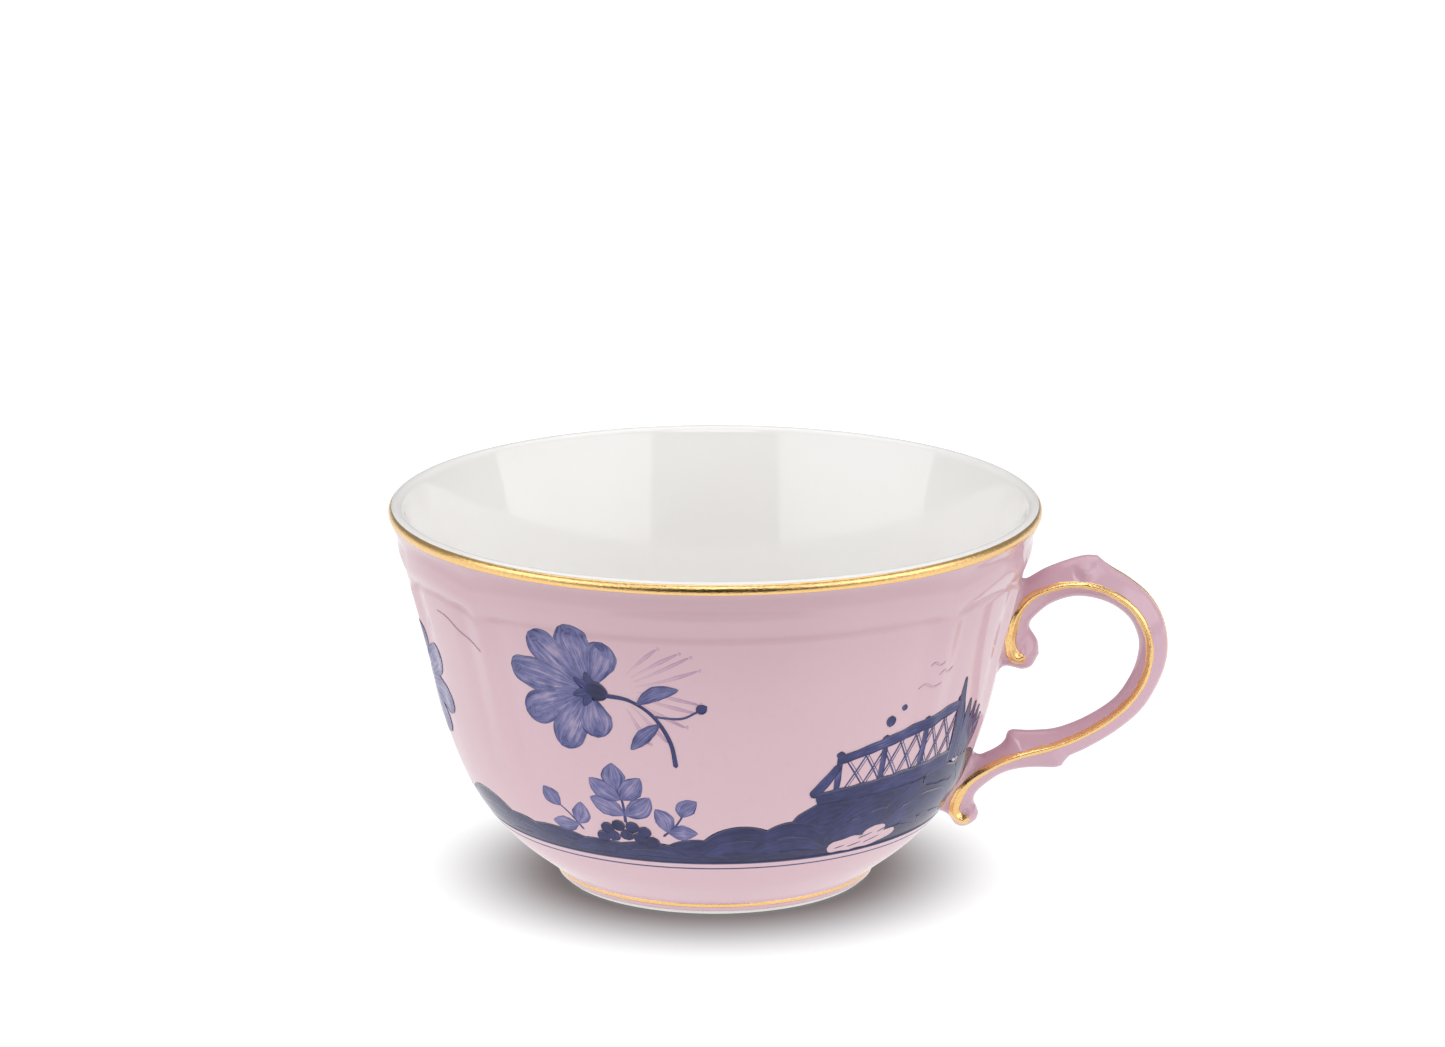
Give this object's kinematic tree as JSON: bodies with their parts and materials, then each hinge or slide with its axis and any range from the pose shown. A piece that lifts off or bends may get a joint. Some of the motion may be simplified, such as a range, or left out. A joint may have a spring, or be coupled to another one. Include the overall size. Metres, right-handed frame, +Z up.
{
  "type": "teacup",
  "caption": "Round footed porcelain teacup with flared rim, scroll handle, coloured outer glaze, white lining and gilded lines.",
  "frame": {"origin": "centre of the foot ring, on the surface the cup stands on", "axes": "+Z up along the bowl's axis of revolution, +X through the handle, -Y the painted front"},
  "size_m": [0.1162, 0.0972, 0.0572],
  "materials": {
    "porcelain": "matte",
    "white_glaze": "gloss",
    "pink_glaze": "gloss",
    "blue_enamel": "gloss",
    "gilding": "polished"
  },
  "bodies": {
    "root": {"porcelain_body": "porcelain", "white_glaze": "white_glaze", "pink_glaze": "pink_glaze", "handle": "pink_glaze", "handle_joint_upper": "porcelain", "handle_joint_lower": "porcelain", "blue_line": "blue_enamel", "rim_gilding": "gilding", "foot_gilding": "gilding", "handle_gilding_near": "gilding", "handle_gilding_far": "gilding", "handle_gilding_back": "gilding"}
  },
  "joints": []
}
